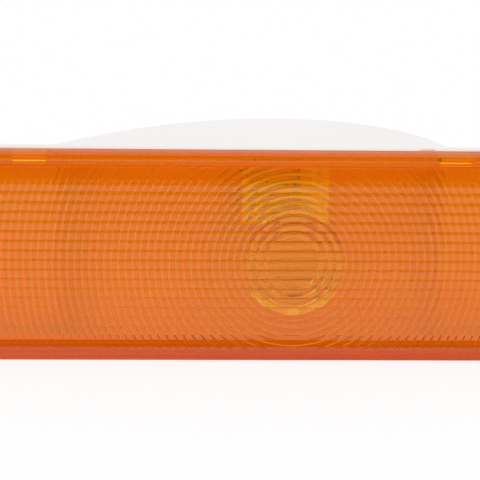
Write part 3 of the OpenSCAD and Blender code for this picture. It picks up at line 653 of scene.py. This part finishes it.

# %% [markdown]
# Glints are painted along the roots of the rings and some arcs: a pale diffuse shader is
# mixed in along these lines, so they show lighter, as if lit from the side. A real ray
# crosses the plastic twice, once on its way in and once out, and such plastic blocks the
# straight lines that light is sampled by. So shadow and diffuse rays pass a plain amber
# filter instead: the inside is then lit without noise, while the eye still sees true refraction.

# %% Painted glints, and light let through the amber
# Painted glints along the roots of the rings, kept off the bull's-eye.
root = amber.band(rings, (0.0, 0.07), (0.2, 0.34)) * (1 - eye) * 0.2
painted_arc_glints = arcs((15.4, 16.3), (12.3, 13.4), (9.3, 10.4)) * amber.span(rise, 2, 8) * 0.13
painted_caustic_arc = arcs((16.7, 18.6)) * amber.span(rise, -10, -13)
painted_caustic_arc = painted_caustic_arc * amber.span(amber.noise(260, 2), *MOST_OF_A_NOISE, 0.1, 0.55)
painted_glints = (root + painted_arc_glints + painted_caustic_arc) * inner * window
painted_glint_diffuse = amber.node("ShaderNodeBsdfDiffuse", {}, {"Color": (1.0, 0.98, 0.8, 1)})
amber.let_light_in(amber.mix(painted_glints, amber.look, painted_glint_diffuse), (1.0, 0.69, 0.22, 1))
lens.data.materials.clear()
lens.data.materials.append(amber.material)
print("nodes of the amber:", len(amber.tree.nodes))

# %% [markdown]
# The housing is a pale moulding with a fine sparked grain. Close to the lens its top edge
# is painted with a warm tint, painted light for the amber light that leaves the lens's flange
# and falls on it.

# %% Pale moulding
TINT_END, TINT_NEAR, TINT_FAR = 6.2 * MM, 30 * MM, 100 * MM
pale = Finish("housing_pale", Specular_IOR_Level=0.3)
front = pale.span(pale.axis("Y"), SEAT_Y * MM, TINT_END, 1.0, 0.0)
top_edge = pale.span(pale.axis("Z"), *edge(35.0 * MM, 0.5 * MM))
side = pale.axis("X")
far = pale.span(side * side, TINT_NEAR ** 2, TINT_FAR ** 2, 0.55, 1.0)
cloudy = pale.blend(pale.noise(18, 2), screen(239, 236, 235), screen(244, 241, 240))
pale.set("Base Color", cloudy)
# Painted light: a warm tint on the top edge near the lens, for amber light falling from the flange.
pale.repaint(front * top_edge * far * 0.85, screen(240, 172, 130))
pale.roughen(pale.noise(220, 2), 0.5, 0.68)
pale.bump(pale.noise(1500, 3), 0.00003, 0.5)
dress("housing", pale)

# %% [markdown]
# The liner is a white satin moulding behind the bulb that scatters the light. Near the lens
# it is painted slightly darker, painted shade that evens out the stronger light it gets
# there, and only its flat middle is painted whiter, with a faint polish, so that it shows
# brighter through the lens.

# %% Reflector
FLAT_Y, SHADE_START, SHADE_END = 53.2 * MM, 3 * MM, 30 * MM
bright = Finish("reflector_bright")
depth = bright.axis("Y")
flat = bright.span(depth, *edge(FLAT_Y, 0.3 * MM))
# Painted shade: the liner is darker near the lens, to even out the stronger light it gets there.
painted_shade_fade = bright.span(depth, SHADE_START, SHADE_END)
coat = bright.blend(painted_shade_fade, (0.84, 0.80, 0.78, 1), (0.98, 0.935, 0.915, 1))
# Painted light: the flat middle is whiter than the rest of the liner.
bright.set("Base Color", bright.blend(flat, coat, (0.99, 0.99, 0.97, 1)))
bright.set("Metallic", flat * 0.3)
bright.roughen(bright.noise(120, 3), 0.35, 0.5)
bright.bump(bright.noise(90, 2), 0.00005, 0.3)
dress("reflector", bright)


# %% [markdown]
# The small metal parts differ mostly in tone and in how the metal was worked. Drawn and
# stamped metal has fine streaks along one way, which show in its roughness and height.
# One function makes them all, so that they look like one family.

# %% Metals
def metal(name, light, dark, rough, streak=(1, 1, 1), size=900):
    """A worked metal, from a light tone to a tarnished one."""
    made = Finish(name, Metallic=1.0)
    marks = made.noise(size, 3, streak)
    stain = made.span(made.noise(140, 3), 0.35, 0.75)
    made.set("Base Color", made.blend(stain, light, dark))
    made.roughen(marks, rough, rough + 0.2)
    made.bump(marks, 0.00002, 0.4)
    return made


contact_brass = metal("contact_brass", (0.84, 0.70, 0.38, 1), (0.66, 0.50, 0.25, 1), 0.2, (1, 8, 1))
zinc = metal("screw_steel", (0.66, 0.66, 0.64, 1), (0.48, 0.49, 0.5, 1), 0.25)
tinned = metal("sleeve_steel", (0.93, 0.93, 0.91, 1), (0.84, 0.84, 0.82, 1), 0.22, (1, 0.1, 1))
tinned.set("Metallic", 0.4)
wire = metal("wire_steel", (0.62, 0.62, 0.62, 1), (0.42, 0.42, 0.43, 1), 0.25)
solder = metal("solder", (0.62, 0.62, 0.63, 1), (0.45, 0.45, 0.46, 1), 0.4, size=400)
for name, finish in {
        "bulb_contacts": solder, "reflector_screws": zinc, "filament_posts": wire,
        "contact_spring": wire, "bayonet_sleeve": tinned, "ground_strap": tinned,
        "contact_buttons": contact_brass, "contact_leads": contact_brass,
        "terminal_blades": contact_brass}.items():
    dress(name, finish)

# %% [markdown]
# The bulb's brass base is filled with pale cement, which holds the glass. Both are one
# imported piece, so a mask by the distance from the bulb's axis tells them apart.

# %% Brass base with its cement
CEMENT = (0.86, 0.82, 0.74, 1)
brass = metal("base_brass", (0.80, 0.62, 0.30, 1), (0.62, 0.44, 0.20, 1), 0.22, (1, 8, 1))
base_low, base_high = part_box("bulb_base")
base_r = (base_high.x - base_low.x) / 2
base_axis = ((base_low.x + base_high.x) / 2, 0, (base_low.z + base_high.z) / 2)
from_axis = brass.length((brass.place() - base_axis) * (1, 0, 1))
cement = brass.span(from_axis, *edge(base_r - 0.45 * MM, 0.05 * MM), 1.0, 0.0)
brass.repaint(cement, CEMENT)
brass.set("Metallic", 1 - cement)
dress("bulb_base", brass)
dress("bulb_pins", brass)
print("bulb base radius:", round(base_r / MM, 2), "mm")


# %% [markdown]
# The plastics, the rubber and the laminated board differ in grain and in gloss. The socket
# and its seals are light, or they would show as dark bars through the lens. The black
# glass at the base's end is covered by the cement where it lies inside the base.

# %% Mouldings and seals
def moulding(name, light, dark, rough, size, depth):
    """A moulded surface, from a light tone to a darker one, with its grain."""
    made = Finish(name)
    made.set("Base Color", made.blend(made.noise(size / 12, 3), light, dark))
    grain = made.noise(size, 3)
    made.roughen(grain, rough, rough + 0.15)
    made.bump(grain, depth, 0.5)
    return made


socket_plastic = moulding("socket_plastic", screen(246, 245, 241), screen(238, 237, 232),
                          0.45, 1400, 0.00003)
rubber = moulding("seal_rubber", screen(236, 233, 228), screen(226, 223, 217), 0.7, 700, 0.00005)
board = moulding("carrier_board", (0.22, 0.09, 0.035, 1), (0.12, 0.05, 0.02, 1), 0.4, 900, 0.00003)
black_glass = moulding("insulator_black", (0.02, 0.02, 0.022, 1), (0.01, 0.01, 0.01, 1),
                       0.05, 300, 0.00001)
inside_base = edge(base_high.y - 1.35 * MM, 0.15 * MM)
covered = black_glass.span(black_glass.axis("Y"), *inside_base, 1.0, 0.0)
black_glass.repaint(covered, CEMENT)
for name, finish in {
        "socket_body": socket_plastic, "socket_gasket": rubber, "lens_seal": rubber,
        "contact_carrier": board, "bulb_insulator": black_glass}.items():
    dress(name, finish)

# %% [markdown]
# The bulb is blown from thin clear glass. A trace of waviness in the bump bends what is
# seen through it, as the wall of a blown bulb is never quite even. The pressed stem inside
# is milky: clear glass of its shape would throw a dark patch over the bull's-eye. Light
# passes both without a filter's tint.

# %% Glass
glass = Finish("bulb_glass", Base_Color=(1, 1, 1, 1), IOR=1.5, Transmission_Weight=1.0)
glass.roughen(glass.noise(200, 2), 0.0, 0.01)
glass.bump(glass.noise(70, 1), 0.00003, 0.2)
stem_glass = Finish("stem_glass", Base_Color=(0.97, 0.965, 0.94, 1), IOR=1.55,
                    Transmission_Weight=0.2)
stem_glass.roughen(stem_glass.noise(300, 2), 0.12, 0.25)
stem_glass.bump(stem_glass.noise(150, 2), 0.00005, 0.3)
for name, finish in {"bulb_glass": glass, "bulb_stem": stem_glass}.items():
    finish.let_light_in(finish.look)
    dress(name, finish)

# %% [markdown]
# Each filament is a fine wire wound into a coil, which keeps it hot. It is one small ring,
# spun round the coil's axis while it moves along it, so the wire is a single closed tube.
# A curve with a thickness could do it too, but its ends would need closing by hand.

# %% Filament coils
WIRE_R, WIRE_SIDES, TURN_STEPS = 0.1 * MM, 8, 14
tungsten = metal("tungsten", (0.32, 0.32, 0.33, 1), (0.2, 0.2, 0.22, 1), 0.4)


def wind(name, node, turns):
    """Winds a coil into the box of the rod that stands for it."""
    low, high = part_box(node)
    middle = (Vector(low) + Vector(high)) / 2
    length = high[0] - low[0] - 4 * WIRE_R
    start = Vector((middle.x - length / 2, middle.y, middle.z))
    coil_r = (high[2] - low[2]) / 2 - WIRE_R
    bm = bmesh.new()
    bmesh.ops.create_circle(bm, segments=WIRE_SIDES, radius=WIRE_R,
                            matrix=Matrix.Translation(start + Vector((0, coil_r, 0))))
    bmesh.ops.spin(bm, geom=bm.verts[:] + bm.edges[:], cent=start, axis=(1, 0, 0),
                   dvec=(length / (turns * TURN_STEPS), 0, 0), angle=turns * 2 * math.pi,
                   steps=turns * TURN_STEPS, use_merge=False)
    bmesh.ops.holes_fill(bm, edges=[e for e in bm.edges if e.is_boundary], sides=0)
    bmesh.ops.recalc_face_normals(bm, faces=bm.faces)
    print(name, "closed:", all(e.is_manifold for e in bm.edges), "faces:", len(bm.faces))
    made = settle(name, bm)
    made.data.shade_smooth()
    made.data.materials.append(tungsten.material)
    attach(made, "root")
    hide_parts(node)


wind("turn_coil", "filament_turn", 16)
wind("park_coil", "filament_park", 9)
